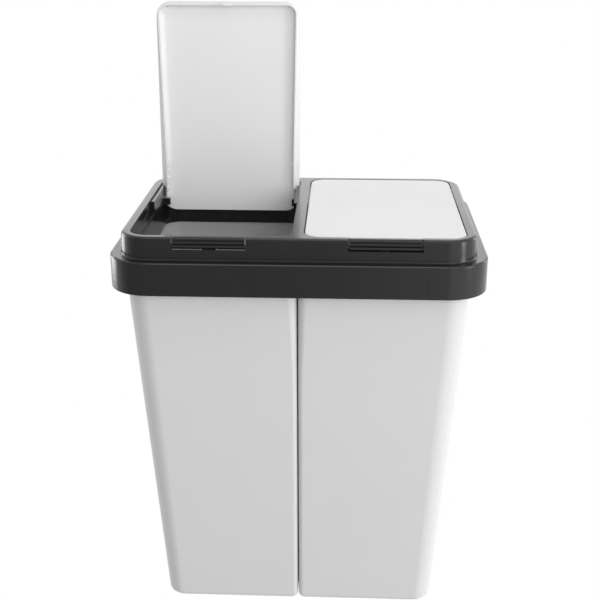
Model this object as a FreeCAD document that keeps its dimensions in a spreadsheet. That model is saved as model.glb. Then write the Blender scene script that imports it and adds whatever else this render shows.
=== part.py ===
"""Double recycling bin: two tapered tubs side by side, a lid frame that caps both, and two push-open lids.

Millimetres, +Z up. The origin is on the floor under the middle of the lid frame, the front faces -Y.
The right lid is shut and the left lid stands open on its stops.
"""
import FreeCAD
import Part
import math
import os

import Sketcher

doc = FreeCAD.newDocument("DoubleRecyclingBin")
sheet = doc.addObject("Spreadsheet::Sheet", "Sizes")

# Driving dimensions: (name, millimetres or degrees, meaning)
SIZES = [
    # lid frame
    ("frame_width", 450, "lid frame over its band, left to right"),
    ("frame_depth", 333, "lid frame over its band, front to back"),
    ("band_bottom", 448, "height of the band's lower edge above the floor"),
    ("band_height", 40.5, "band from its lower edge up to the tread"),
    ("band_corner", 50, "plan radius of the band's corners"),
    ("tread_width", 13, "step from the band in to the upper tier"),
    ("tier_height", 27, "upper tier from the tread to the top"),
    ("tier_draft", 1.2, "how far the tier leans in over its height"),
    ("frame_wall", 2.5, "wall of the lid frame"),
    ("crown_round", 5, "round along the top outer edge"),
    ("tread_bevel", 1.6, "bevel along the band's top edge"),
    ("bar_width", 14, "bar between the two wells"),
    ("well_corner", 21, "plan radius of a well's corners"),
    ("well_lip", 0.6, "bevel along a well's top edge"),
    ("rebate_depth", 12.5, "depth of the lid's recess below the top"),
    ("rebate_step", 0.8, "ledge at the bottom of the recess"),
    ("collar_depth", 64, "collar's lower edge below the top"),
    ("collar_wall", 2, "wall of the collar that hangs into a tub"),
    ("collar_side_gap", 2.4, "collar's lower edge to a tub's outer side, inside"),
    ("collar_end_gap", 1.4, "collar's lower edge to a tub's front and back, inside"),
    ("bead_drop", 24, "bag bead below the top"),
    ("bead_size", 1.6, "bag bead, height and reach"),
    ("seat_rib", 2, "thickness of the ribs that sit on a tub's rim"),
    # tubs
    ("tub_lean", 33.3, "how far a tub's outer walls lean in from the rim to the floor"),
    ("tub_gap", 1.2, "gap between the two tubs"),
    ("tub_wall", 2.4, "wall of a tub"),
    ("tub_corner", 26, "radius of a tub's outer corner edges"),
    ("tub_foot_round", 8, "round along a tub's bottom edge"),
    ("cove_start", 338, "height where the rounding of the seam edges starts from nothing"),
    ("cove_angle", 5.1, "half angle of the cone that shapes that rounding"),
    ("rim_gap", 8, "rim flange to the inside of the band"),
    ("rim_reach", 6.5, "rim flange beyond the wall"),
    ("rim_height", 2.5, "thickness of the rim flange"),
    ("rim_drop", 2, "space between the rim and the underside of the tread"),
    # lids
    ("lid_gap", 1, "gap round a lid"),
    ("lid_plate", 2.3, "thickness of a lid's plate"),
    ("lid_bevel", 1.1, "bevel along a lid's top edge"),
    ("skirt_inset", 6.5, "plate's edge to the skirt along the sides"),
    ("skirt_front_inset", 3, "plate's edge to the skirt at the front"),
    ("skirt_wall", 1.8, "wall of the skirt"),
    ("skirt_height", 8.4, "skirt below the plate"),
    ("skirt_heel", 13, "skirt behind the hinge axis"),
    ("hinge_inset", 33, "hinge axis to a well's back"),
    ("hinge_drop", 5.6, "hinge axis below the top"),
    ("pin_radius", 1.8, "hinge pin"),
    ("pin_play", 0.06, "play round a pin, on the radius"),
    ("swing_gap", 0.3, "clearance between parts that pass each other"),
    ("cheek_gap", 2.8, "space between the skirt and the hinge cheek"),
    ("open_angle", 92, "how far a lid opens"),
    ("slit_width", 1, "slits that let a hinge pin spring in"),
    ("slit_offset", 3.6, "slit to the hinge axis"),
    ("gusset_pitch", 9.5, "spacing of the gussets along the skirt"),
    ("cheek_length", 90, "hinge cheek in front of the hinge axis"),
    ("cheek_height", 13, "hinge cheek below the hinge axis"),
    ("stop_reach", 11.5, "stop lug inward from the well's wall"),
    ("stop_drop", 15.5, "stop lug below the hinge axis"),
    ("stop_height", 8.4, "height of a stop lug"),
    ("stop_depth", 7, "stop lug, front to back"),
    # latch bars
    ("latch_width", 84, "latch bar, left to right"),
    ("latch_gap", 1.5, "gap at a latch bar's ends"),
    ("latch_axis_drop", 9.8, "latch axis below the top"),
    ("latch_axis_back", 3.5, "latch axis behind the tier's foot"),
    ("latch_barrel", 2.2, "radius of the barrel along the latch axis"),
    ("latch_stub", 1.6, "radius of the stubs at the barrel's ends"),
    ("latch_skin", 2, "thickness of the latch bar's face"),
    ("latch_floor", 14, "notch for a latch bar below the top"),
    ("cheek_wall", 2.2, "wall at each end of the notch"),
    ("ridge_radius", 1.7, "grip ridges on a latch bar"),
    ("arm_width", 16, "catch arm under a latch bar"),
    ("arm_thick", 1.9, "thickness of the catch arm"),
    ("nose_drop", 17, "top of the arm's nose below the top"),
    ("nose_height", 2.6, "height of the nose"),
    ("nose_reach", 1.1, "nose past the well's front wall"),
    ("catch_width", 9, "catch on a lid's front"),
    ("catch_gap", 0.8, "catch to the nose"),
    ("spring_sheet", 0.6, "thickness of the latch spring"),
    ("spring_width", 10, "width of the latch spring"),
    ("wire", 0.9, "wire of the lid spring"),
    ("spring_leg", 24, "leg of the lid spring along the skirt"),
    ("witness_depth", 0.3, "depth of the witness lines on the frame's front"),
    ("witness_width", 0.7, "width of those lines"),
    ("witness_spread", 4.5, "lines beyond a latch bar's ends on the band"),
]


class Size:
    """A length that carries both its value and the sheet formula that gives it."""

    def __init__(self, value, formula):
        self.value = value
        self.formula = formula

    @staticmethod
    def of(item):
        return item if isinstance(item, Size) else Size(float(item), repr(float(item)))

    def __add__(self, other):
        other = Size.of(other)
        return Size(self.value + other.value, f"({self.formula} + {other.formula})")

    def __sub__(self, other):
        other = Size.of(other)
        return Size(self.value - other.value, f"({self.formula} - {other.formula})")

    def __mul__(self, other):
        other = Size.of(other)
        return Size(self.value * other.value, f"({self.formula} * {other.formula})")

    def __truediv__(self, other):
        other = Size.of(other)
        return Size(self.value / other.value, f"({self.formula} / {other.formula})")

    def __neg__(self):
        return Size.of(0) - self

    def __radd__(self, other):
        return Size.of(other) + self

    def __rsub__(self, other):
        return Size.of(other) - self

    __rmul__ = __mul__


class SizeTable:
    """The named sizes, as attributes."""


s = SizeTable()
for row, (name, number, meaning) in enumerate(SIZES, start=1):
    sheet.set(f"A{row}", name)
    sheet.set(f"B{row}", str(number))
    sheet.set(f"C{row}", meaning)
    sheet.setAlias(f"B{row}", name)
    setattr(s, name, Size(float(number), f"Sizes.{name}"))
doc.recompute()

# Levels and faces that several pieces share
half_width = s.frame_width / 2
half_depth = s.frame_depth / 2
tread_z = s.band_bottom + s.band_height
top_z = tread_z + s.tier_height
tier_half_depth = half_depth - s.tread_width
collar_z = top_z - s.collar_depth
rim_z = tread_z - s.frame_wall - s.rim_drop
rim_x = half_width - s.frame_wall - s.rim_gap - s.rim_reach
rim_y = half_depth - s.frame_wall - s.rim_gap - s.rim_reach
lean = s.tub_lean / rim_z
collar_inset = s.tub_wall + lean * (rim_z - collar_z) + s.collar_wall
well_outer = rim_x - collar_inset - s.collar_side_gap
well_inner = s.bar_width / 2
well_mid = (well_outer + well_inner) / 2
well_back_y = rim_y - collar_inset - s.collar_end_gap
well_front_y = -well_back_y
hinge_y = well_back_y - s.hinge_inset
hinge_z = top_z - s.hinge_drop
hinge_round = s.hinge_drop - s.lid_plate - s.swing_gap
plate_z = top_z - s.lid_plate
skirt_z = plate_z - s.skirt_height
cheek_reach = s.lid_gap + s.skirt_inset - s.cheek_gap
latch_y = s.latch_axis_back - tier_half_depth
latch_z = top_z - s.latch_axis_drop
latch_half = s.latch_width / 2
notch_half = latch_half + s.latch_gap


# ---------------------------------------------------------------- helpers

def bind(item, prop, size):
    """Set a property from the sheet."""
    item.setExpression(prop, Size.of(size).formula)


def new_body(name):
    return doc.addObject("PartDesign::Body", name)


def plane_sketch(body, name, role, offset):
    """A sketch on one of the body's origin planes, moved along the plane's normal."""
    plane = next(f for f in body.Origin.OriginFeatures if f.Role == role)
    sketch = body.newObject("Sketcher::SketchObject", name)
    sketch.AttachmentSupport = [(plane, "")]
    sketch.MapMode = "FlatFace"
    sketch.AttachmentOffset = FreeCAD.Placement(FreeCAD.Vector(0, 0, Size.of(offset).value), FreeCAD.Rotation())
    bind(sketch, "AttachmentOffset.Base.z", offset)
    return sketch


def constrain(sketch, kind, geometry, point, size):
    """Fix a point's coordinate, or an arc's radius, from the sheet."""
    if kind == "Radius":
        index = sketch.addConstraint(Sketcher.Constraint(kind, geometry, size.value))
    else:
        index = sketch.addConstraint(Sketcher.Constraint(kind, -1, 1, geometry, point, size.value))
    sketch.setExpression(f"Constraints[{index}]", size.formula)


def rounded_outline(sketch, x_low, x_high, y_low, y_high, radii):
    """A closed outline with square or rounded corners; radii run anticlockwise from the low corner."""
    corners = [(x_low, y_low), (x_high, y_low), (x_high, y_high), (x_low, y_high)]
    radii = [None if r is None else Size.of(r) for r in radii]
    along = [(1, 0), (0, 1), (-1, 0), (0, -1)]
    first = sketch.GeometryCount
    lines = []
    for k in range(4):
        step, start_r, end_r = along[k], radii[k], radii[(k + 1) % 4]
        ends = []
        for (cx, cy), r, sign in ((corners[k], start_r, 1), (corners[(k + 1) % 4], end_r, -1)):
            shift = sign * (r.value if r else 0)
            ends.append(FreeCAD.Vector(cx.value + shift * step[0], cy.value + shift * step[1], 0))
        lines.append(sketch.addGeometry(Part.LineSegment(*ends)))
    for k in range(4):
        before, here = lines[k - 1], lines[k]
        if radii[k] is None:
            sketch.addConstraint(Sketcher.Constraint("Coincident", before, 2, here, 1))
            continue
        r = radii[k].value
        inward = (along[k][0] - along[k - 1][0], along[k][1] - along[k - 1][1])
        centre = FreeCAD.Vector(corners[k][0].value + r * inward[0], corners[k][1].value + r * inward[1], 0)
        start_angle = math.atan2(-along[k][1], -along[k][0])
        circle = Part.Circle(centre, FreeCAD.Vector(0, 0, 1), r)
        arc = sketch.addGeometry(Part.ArcOfCircle(circle, start_angle, start_angle + math.pi / 2))
        sketch.addConstraint(Sketcher.Constraint("Tangent", before, 2, arc, 1))
        sketch.addConstraint(Sketcher.Constraint("Tangent", arc, 2, here, 1))
        constrain(sketch, "Radius", arc, None, radii[k])
    for k, (kind, axis, size) in enumerate((("Horizontal", "DistanceY", y_low), ("Vertical", "DistanceX", x_high),
                                            ("Horizontal", "DistanceY", y_high), ("Vertical", "DistanceX", x_low))):
        sketch.addConstraint(Sketcher.Constraint(kind, lines[k]))
        constrain(sketch, axis, lines[k], 1, size)
    return first


def polygon(sketch, points):
    """A closed outline of straight runs, each corner placed from the sheet."""
    vectors = [FreeCAD.Vector(x.value, y.value, 0) for x, y in points]
    lines = [sketch.addGeometry(Part.LineSegment(a, b)) for a, b in zip(vectors, vectors[1:] + vectors[:1])]
    for k, line in enumerate(lines):
        sketch.addConstraint(Sketcher.Constraint("Coincident", lines[k - 1], 2, line, 1))
        constrain(sketch, "DistanceX", line, 1, points[k][0])
        constrain(sketch, "DistanceY", line, 1, points[k][1])


def pad(body, name, sketch, length):
    """Raise a sketch along its plane's normal."""
    feature = body.newObject("PartDesign::Pad", name)
    feature.Profile = sketch
    bind(feature, "Length", length)
    sketch.Visibility = False
    return feature


def pocket(body, name, sketch, length):
    """Cut a sketch down against its plane's normal."""
    feature = body.newObject("PartDesign::Pocket", name)
    feature.Profile = sketch
    bind(feature, "Length", length)
    return feature


def loft(body, name, sketches):
    """A straight-sided body through two or more outlines."""
    feature = body.newObject("PartDesign::AdditiveLoft", name)
    feature.Profile = sketches[0]
    feature.Sections = sketches[1:]
    feature.Ruled = True
    return feature


def dress(body, name, base, size, chosen, kind="Fillet"):
    """Round or bevel the edges of the base feature that the test picks."""
    doc.recompute()
    edges = [f"Edge{k}" for k, edge in enumerate(base.Shape.Edges, start=1) if chosen(edge)]
    feature = body.newObject(f"PartDesign::{kind}", name)
    feature.Base = (base, edges)
    bind(feature, "Radius" if kind == "Fillet" else "Size", size)
    return feature


def cosine(size):
    return Size(math.cos(math.radians(size.value)), f"cos({size.formula} * 1 deg)")


def sine(size):
    return Size(math.sin(math.radians(size.value)), f"sin({size.formula} * 1 deg)")


def level(edge, z):
    """Whether an edge lies flat at a height."""
    box = edge.BoundBox
    return abs(box.ZMin - z.value) < 1e-4 and abs(box.ZMax - z.value) < 1e-4


def block(name, x0, x1, y0, y1, z0, z1):
    """A box between named faces."""
    item = doc.addObject("Part::Box", name)
    for prop, low, high in (("Length", x0, x1), ("Width", y0, y1), ("Height", z0, z1)):
        bind(item, prop, Size.of(high) - Size.of(low))
    for axis, low in (("x", x0), ("y", y0), ("z", z0)):
        bind(item, f"Placement.Base.{axis}", low)
    return item


def rod(name, x0, x1, y, z, radius):
    """A round bar along X."""
    item = doc.addObject("Part::Cylinder", name)
    item.Placement = FreeCAD.Placement(FreeCAD.Vector(), FreeCAD.Rotation(FreeCAD.Vector(0, 1, 0), 90))
    bind(item, "Radius", radius)
    bind(item, "Height", Size.of(x1) - Size.of(x0))
    for axis, low in (("x", x0), ("y", y), ("z", z)):
        bind(item, f"Placement.Base.{axis}", low)
    return item


def fuse(name, pieces):
    item = doc.addObject("Part::MultiFuse", name)
    item.Shapes = pieces
    item.Refine = True
    return item


def cut(name, base, tool):
    item = doc.addObject("Part::Cut", name)
    item.Base = base
    item.Tool = tool
    item.Refine = True
    return item


def span(side, near, far):
    """Low and high x of something between two distances from the middle, on the given side."""
    near, far = Size.of(near), Size.of(far)
    return (near, far) if side > 0 else (-far, -near)


# ---------------------------------------------------------------- lid frame

def frame_shell():
    """The moulded shell: band, tread, tier, deck, the two wells and their collars."""
    body = new_body("FrameShell")

    def ring(name, z, inset, corner_loss):
        sketch = plane_sketch(body, name, "XY_Plane", z)
        x, y, r = half_width - inset, half_depth - inset, s.band_corner - corner_loss
        rounded_outline(sketch, -x, x, -y, y, [r] * 4)
        return sketch

    def wells(name, z, grow):
        sketch = plane_sketch(body, name, "XY_Plane", z)
        near, far = well_inner - grow, well_outer + grow
        for side in (-1, 1):
            low, high = span(side, near, far)
            rounded_outline(sketch, low, high, well_front_y - grow, well_back_y + grow, [s.well_corner + grow] * 4)
        return sketch

    pad(body, "Band", ring("BandOutline", s.band_bottom, 0, 0), s.band_height)
    leaning = s.tread_width + s.tier_draft
    tier = loft(body, "Tier", [ring("TierFoot", tread_z, s.tread_width, s.tread_width),
                               ring("TierTop", top_z, leaning, leaning)])

    crown = dress(body, "CrownRound", tier, s.crown_round, lambda e: level(e, top_z))
    edge_x = half_width.value - s.tread_width.value / 2
    edge_y = half_depth.value - s.tread_width.value / 2
    corner = s.band_corner.value - s.tread_width.value / 2

    def on_band(edge):
        if hasattr(edge.Curve, "Radius"):
            return edge.Curve.Radius > corner
        middle = edge.CenterOfMass
        return abs(middle.x) > edge_x or abs(middle.y) > edge_y

    dress(body, "TreadBevel", crown, s.tread_bevel, lambda e: level(e, tread_z) and on_band(e), "Chamfer")

    wall = s.frame_wall
    pocket(body, "BandHollow", ring("BandHollowOutline", tread_z - wall, wall, wall), s.band_height)
    inner = s.tread_width + s.tier_draft + wall
    pocket(body, "TierHollow", ring("TierHollowOutline", top_z - wall, inner, inner), s.tier_height + wall)
    pad(body, "Collars", wells("CollarOutline", collar_z, s.collar_wall), s.collar_depth - wall / 2)
    rebate = pocket(body, "Rebate", wells("WellOutline", top_z, 0), s.rebate_depth)
    dress(body, "WellLip", rebate, s.well_lip,
          lambda e: level(e, top_z) and abs(e.CenterOfMass.y) < well_back_y.value + 0.5
          and abs(e.CenterOfMass.x) < well_outer.value + 0.5, "Chamfer")
    pocket(body, "Wells", wells("CollarInner", top_z, -s.rebate_step), s.collar_depth + wall)
    return body


def frame_details(side):
    """What one well adds to the shell, and what it takes away."""
    tag = "Right" if side > 0 else "Left"
    added, taken = [], []
    mid = well_mid * side

    # hinge cheeks with a blind hole for the lid's pins, and the lugs that stop the open lid
    for edge, wall_x, inward in (("Outer", well_outer, -1), ("Inner", well_inner, 1)):
        def reach(depth, sunk):
            return span(side, *sorted((wall_x + inward * depth, wall_x - inward * sunk), key=lambda d: d.value))
        name = tag + edge
        x0, x1 = reach(cheek_reach, s.rebate_step + s.collar_wall / 2)
        added.append(block(name + "Cheek", x0, x1, hinge_y - s.cheek_length, hinge_y,
                           hinge_z - s.cheek_height, hinge_z + hinge_round))
        added.append(block(name + "CheekBack", x0, x1, hinge_y,
                           hinge_y + hinge_round - sine(s.open_angle - 90) * s.cheek_height,
                           hinge_z - s.cheek_height, hinge_z))
        added.append(rod(name + "CheekEnd", x0, x1, hinge_y, hinge_z, hinge_round))
        hole0, hole1 = reach(cheek_reach + 1, -s.rebate_step)
        taken.append(rod(name + "PinHole", hole0, hole1, hinge_y, hinge_z, s.pin_radius + s.pin_play))
        x0, x1 = reach(s.stop_reach, s.rebate_step + s.collar_wall / 2)
        face = hinge_y + s.hinge_drop - s.lid_plate - stop_lean - s.swing_gap
        added.append(block(name + "Stop", x0, x1, face - s.stop_depth, face,
                           hinge_z - s.stop_drop - s.stop_height, hinge_z - s.stop_drop))

    # bead along the collar's outer side that keeps a bag in place
    low, high = span(side, well_outer - s.rebate_step - s.bead_size, well_outer)
    bead_z = top_z - s.bead_drop
    added.append(block(tag + "Bead", low, high, well_front_y + s.well_corner, hinge_y - s.well_corner,
                       bead_z - s.bead_size, bead_z))

    # notch for the latch bar, closed at its ends by drilled walls
    taken.append(block(tag + "Notch", mid - notch_half, mid + notch_half, -half_depth,
                       well_front_y + s.collar_wall, top_z - s.latch_floor, top_z + 1))
    for end in (-1, 1):
        inner_x, outer_x = mid + end * notch_half, mid + end * (notch_half + s.cheek_wall)
        x0, x1 = (inner_x, outer_x) if end > 0 else (outer_x, inner_x)
        name = f"{tag}Notch{'High' if end > 0 else 'Low'}"
        added.append(block(name + "Wall", x0, x1, s.frame_wall / 2 + s.tier_draft - tier_half_depth,
                           well_front_y - s.collar_wall / 2, latch_z - s.cheek_height, top_z - s.frame_wall / 2))
        taken.append(rod(name + "Hole", x0 - 1, x1 + 1, latch_y, latch_z, s.latch_stub + s.pin_play))

    # window in the collar for the latch's nose
    window = (s.arm_width + s.latch_gap * 2) / 2
    taken.append(block(tag + "Window", mid - window, mid + window, well_front_y - s.collar_wall - 1,
                       well_front_y + s.collar_wall, top_z - s.nose_drop - s.nose_height - s.latch_gap * 2,
                       top_z - s.nose_drop + s.latch_gap))

    # witness lines from the notch's ends down to the band's edge
    for end in (-1, 1):
        for part, x, y, z0, z1 in (
                ("Band", mid + end * (notch_half + s.witness_spread), -half_depth, s.band_bottom - 1, tread_z + 1),
                ("Tier", mid + end * (notch_half + s.witness_width), -tier_half_depth, tread_z,
                 top_z - s.latch_floor)):
            half = s.witness_width / 2
            taken.append(block(f"{tag}{part}Line{'High' if end > 0 else 'Low'}", x - half, x + half,
                               y - 1, y + s.witness_depth, z0, z1))
    return added, taken


def seat_ribs():
    """Ribs under the tread that stand on the tubs' rims."""
    ribs = []
    z0, z1 = rim_z, tread_z - s.frame_wall / 2
    half = s.seat_rib / 2
    for side in (-1, 1):
        for end in (-1, 1):
            for k, share in enumerate((0.25, 0.75)):
                x = (well_inner + (well_outer - well_inner) * share) * side
                y0, y1 = span(end, rim_y, rim_y + s.rim_reach)
                ribs.append(block(f"SeatRib{side}{end}{k}".replace("-", "m"), x - half, x + half, y0, y1, z0, z1))
        for k, share in enumerate((-0.5, 0, 0.5)):
            y = well_back_y * share
            x0, x1 = span(side, rim_x, rim_x + s.rim_reach)
            ribs.append(block(f"SideRib{side}{k}".replace("-", "m"), x0, x1, y - half, y + half, z0, z1))
    return ribs


def build_frame():
    added, taken = [frame_shell()] + seat_ribs(), []
    for side in (-1, 1):
        more, less = frame_details(side)
        added += more
        taken += less
    return cut("lid_frame", fuse("FrameAdded", added), fuse("FrameTaken", taken))


# ---------------------------------------------------------------- tubs

def tapered(body, name, side, floor, mouth, wall):
    """A flat-sided taper that stands upright along the seam."""
    feature = body.newObject("PartDesign::AdditiveWedge", name)
    feature.Placement = FreeCAD.Placement(FreeCAD.Vector(), FreeCAD.Rotation(FreeCAD.Vector(1, 0, 0), 90))
    bind(feature, "Placement.Base.z", floor)
    bind(feature, "Ymin", 0)
    bind(feature, "Ymax", mouth - floor)
    seam = s.tub_gap / 2 + wall
    for z, x_keys, y_keys in ((floor, ("Xmin", "Xmax"), ("Zmin", "Zmax")), (mouth, ("X2min", "X2max"), ("Z2min", "Z2max"))):
        inset = lean * (rim_z - z) + wall
        for key, size in zip(x_keys, span(side, seam, rim_x - inset)):
            bind(feature, key, size)
        for key, size in zip(y_keys, (inset - rim_y, rim_y - inset)):
            bind(feature, key, size)
    return feature


def rounded_taper(tag, name, side, floor, mouth, wall):
    """The taper with its two outer corner edges and its bottom edge rounded."""
    body = new_body(tag + name)
    plain = tapered(body, tag + name + "Taper", side, floor, mouth, wall)
    halfway = (mouth - floor).value / 2

    def outer_corner(edge):
        return edge.BoundBox.ZLength > halfway and abs(edge.CenterOfMass.x) > rim_x.value / 2

    corners = dress(body, tag + name + "Corners", plain, s.tub_corner - wall, outer_corner)
    if wall.value:
        dress(body, tag + name + "Foot", corners, (s.tub_foot_round - wall) * 0.6, lambda e: level(e, floor), "Chamfer")
    else:
        dress(body, tag + name + "Foot", corners, s.tub_foot_round, lambda e: level(e, floor))
    return body


def seam_cove(name, side, end, wall):
    """What rounds off a seam edge: a slim pyramid on the edge less the cone that touches both walls."""
    wall = Size.of(wall).value
    lean_angle = math.atan(lean.value)
    half_angle = math.radians(s.cove_angle.value)
    along = math.sqrt(1 - 2 * math.sin(half_angle) ** 2)
    axis = FreeCAD.Vector(
        side * math.sin(half_angle),
        end * (along * math.sin(lean_angle) - math.sin(half_angle) * math.cos(lean_angle)),
        along * math.cos(lean_angle) + math.sin(half_angle) * math.sin(lean_angle))
    seam = s.tub_gap.value / 2

    def wall_y(z):
        return rim_y.value - lean.value * (rim_z.value - z)

    start = s.cove_start.value
    tip = FreeCAD.Vector(side * seam, end * wall_y(start), start) + axis * (wall / math.sin(half_angle))
    mouth = (rim_z + s.rim_height * 2).value
    height = (mouth - tip.z) / axis.z
    centre = tip + axis * height
    clear = s.rim_height.value / 2
    low_x, low_y = side * (seam + wall - clear), end * (wall_y(mouth) - wall + clear)
    base = [FreeCAD.Vector(x, y, mouth) for x, y in
            ((low_x, low_y), (centre.x, low_y), (centre.x, centre.y), (low_x, centre.y))]
    faces = [Part.Face(Part.makePolygon(base + base[:1]))]
    faces += [Part.Face(Part.makePolygon([a, b, tip, a])) for a, b in zip(base, base[1:] + base[:1])]
    pyramid = Part.Solid(Part.Shell(faces))
    if pyramid.Volume < 0:
        pyramid.reverse()
    cone = Part.makeCone(0, height * 1.2 * math.tan(half_angle), height * 1.2, tip, axis)
    item = doc.addObject("Part::Feature", name)
    item.Shape = pyramid.cut(cone)
    return item


def build_tub(side):
    """A tapered tub, upright along the seam, with a flange round its other three sides."""
    tag = "Right" if side > 0 else "Left"
    parts = {}
    for name, floor, mouth, wall in (("Outside", Size.of(0), rim_z, Size.of(0)),
                                     ("Hollow", s.tub_wall, rim_z + s.rim_height, s.tub_wall)):
        body = rounded_taper(tag, name, side, floor, mouth, wall)
        coves = [seam_cove(f"{tag}{name}Cove{'Back' if end > 0 else 'Front'}", side, end, wall) for end in (-1, 1)]
        parts[name] = cut(f"{tag}{name}Coved", body, fuse(f"{tag}{name}Coves", coves))
    flange = new_body(tag + "Flange")
    sketch = plane_sketch(flange, tag + "FlangeOutline", "XY_Plane", rim_z - s.rim_height)
    low, high = span(side, s.tub_gap / 2, rim_x + s.rim_reach)
    reach_y, corner = rim_y + s.rim_reach, s.tub_corner + s.rim_reach
    rounded_outline(sketch, low, high, -reach_y, reach_y,
                    [None, corner, corner, None] if side > 0 else [corner, None, None, corner])
    pad(flange, tag + "FlangePad", sketch, s.rim_height)
    return cut(tag.lower() + "_tub", fuse(tag + "Solid", [parts["Outside"], flange]), parts["Hollow"])


# ---------------------------------------------------------------- lids

def build_lid(side):
    """A flush lid with a skirt, snap-in hinge pins and a catch; the left one is turned open."""
    tag = "Right" if side > 0 else "Left"
    mid = well_mid * side
    near, far = well_inner + s.lid_gap, well_outer - s.lid_gap
    front, back = well_front_y + s.lid_gap, well_back_y - s.lid_gap
    corner = s.well_corner - s.lid_gap
    body = new_body(tag + "LidBody")

    def outline(name, z, side_inset, front_inset):
        sketch = plane_sketch(body, name, "XY_Plane", z)
        for inset_s, inset_f in zip(side_inset, front_inset):
            low, high = span(side, near + inset_s, far - inset_s)
            rounded_outline(sketch, low, high, front + inset_f, back - inset_s, [corner - inset_s] * 4)
        return sketch

    plate = pad(body, tag + "Plate", outline(tag + "PlateOutline", plate_z, [0], [0]), s.lid_plate)
    dress(body, tag + "PlateBevel", plate, s.lid_bevel, lambda e: level(e, top_z), "Chamfer")
    inner_s, inner_f = s.skirt_inset + s.skirt_wall, s.skirt_front_inset + s.skirt_wall
    pad(body, tag + "Skirt", outline(tag + "SkirtOutline", skirt_z, [s.skirt_inset, inner_s],
                                     [s.skirt_front_inset, inner_f]), s.skirt_height)

    added, taken = [body], []
    taken.append(block(tag + "SkirtBack", mid - s.frame_width, mid + s.frame_width, hinge_y + s.skirt_heel,
                       half_depth, skirt_z - 1, plate_z))
    for edge, face, outward in (("Outer", far - s.skirt_inset, 1), ("Inner", near + s.skirt_inset, -1)):
        def reach(a, b):
            ends = sorted((face + outward * a, face + outward * b), key=lambda d: d.value)
            return span(side, *ends)
        name = tag + edge
        end_of_pin = s.skirt_inset + s.lid_gap - s.rebate_step
        x0, x1 = reach(-s.skirt_wall / 2, end_of_pin)
        added.append(rod(name + "Pin", x0, x1, hinge_y, hinge_z, s.pin_radius))
        x0, x1 = reach(-s.skirt_wall - 0.8, -s.skirt_wall / 2)
        added.append(rod(name + "Boss", x0, x1, hinge_y, hinge_z, s.pin_radius + 0.9))
        x0, x1 = reach(-s.skirt_wall - 2, 1)
        for way in (-1, 1):
            y = hinge_y + way * s.slit_offset
            half = s.slit_width / 2
            taken.append(block(f"{name}Slit{'Back' if way > 0 else 'Front'}", x0, x1, y - half, y + half,
                               skirt_z - 1, plate_z - s.skirt_wall))
        x0, x1 = reach(-s.skirt_wall - 2.5, -s.skirt_wall / 2)
        for k in range(3):
            y = hinge_y - s.slit_offset - s.gusset_pitch * (k + 1)
            added.append(block(f"{name}Gusset{k}", x0, x1, y - s.skirt_wall / 3, y + s.skirt_wall / 3,
                               skirt_z + s.skirt_wall, plate_z + s.lid_plate / 2))

    catch_half = s.catch_width / 2
    catch_z = top_z - s.nose_drop - s.nose_height - s.latch_gap
    skirt_y = front + s.skirt_front_inset
    barb_y = well_front_y + s.nose_reach + s.catch_gap
    added.append(block(tag + "Catch", mid - catch_half, mid + catch_half, skirt_y, skirt_y + s.skirt_wall,
                       catch_z, plate_z + s.lid_plate / 2))
    added.append(block(tag + "Barb", mid - catch_half, mid + catch_half, barb_y, skirt_y + s.skirt_wall / 2,
                       catch_z, catch_z + s.nose_height * 0.7))
    shut = cut(tag + "LidShut", fuse(tag + "LidAdded", added), fuse(tag + "LidTaken", taken))
    return turned_about_hinge(shut, tag.lower() + "_lid", side < 0)


def turned_about_hinge(shut, label, opened):
    """The shut piece, or the same piece opened all the way about the hinge axis."""
    item = doc.addObject("Part::Compound", label)
    item.Links = [shut]
    if not opened:
        return item
    angle = s.open_angle
    item.Placement = FreeCAD.Placement(FreeCAD.Vector(), FreeCAD.Rotation(FreeCAD.Vector(-1, 0, 0), angle.value))
    item.setExpression("Placement.Rotation.Angle", f"{angle.formula} * 1 deg")
    bind(item, "Placement.Base.y", hinge_y - hinge_y * cosine(angle) - hinge_z * sine(angle))
    bind(item, "Placement.Base.z", hinge_z + hinge_y * sine(angle) - hinge_z * cosine(angle))
    return item


def build_lid_spring(side):
    """Torsion spring on the outer hinge pin, drawn as the tube that its touching turns fill, with both legs."""
    tag = "Right" if side > 0 else "Left"
    face = well_outer - s.lid_gap - s.skirt_inset
    play = (s.cheek_gap - s.wire * 2) / 2
    bore = hinge_round - s.wire
    x0, x1 = span(side, face + play, face + play + s.wire * 2)
    ring = cut(tag + "Coil", rod(tag + "CoilOut", x0, x1, hinge_y, hinge_z, hinge_round),
               rod(tag + "CoilBore", x0, x1, hinge_y, hinge_z, bore))
    low, high = span(side, face + play, face + play + s.wire)
    lift = block(tag + "LegLid", low, high, hinge_y - s.spring_leg, hinge_y, hinge_z + bore, hinge_z + hinge_round)
    low, high = span(side, face + play + s.wire, face + play + s.wire * 2)
    hold = block(tag + "LegFrame", low, high, hinge_y + bore, hinge_y + hinge_round,
                 hinge_z - s.cheek_height, hinge_z)
    return turned_about_hinge(fuse(tag + "SpringShut", [ring, lift, hold]), tag.lower() + "_lid_spring", side < 0)


# ---------------------------------------------------------------- latch bars

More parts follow.
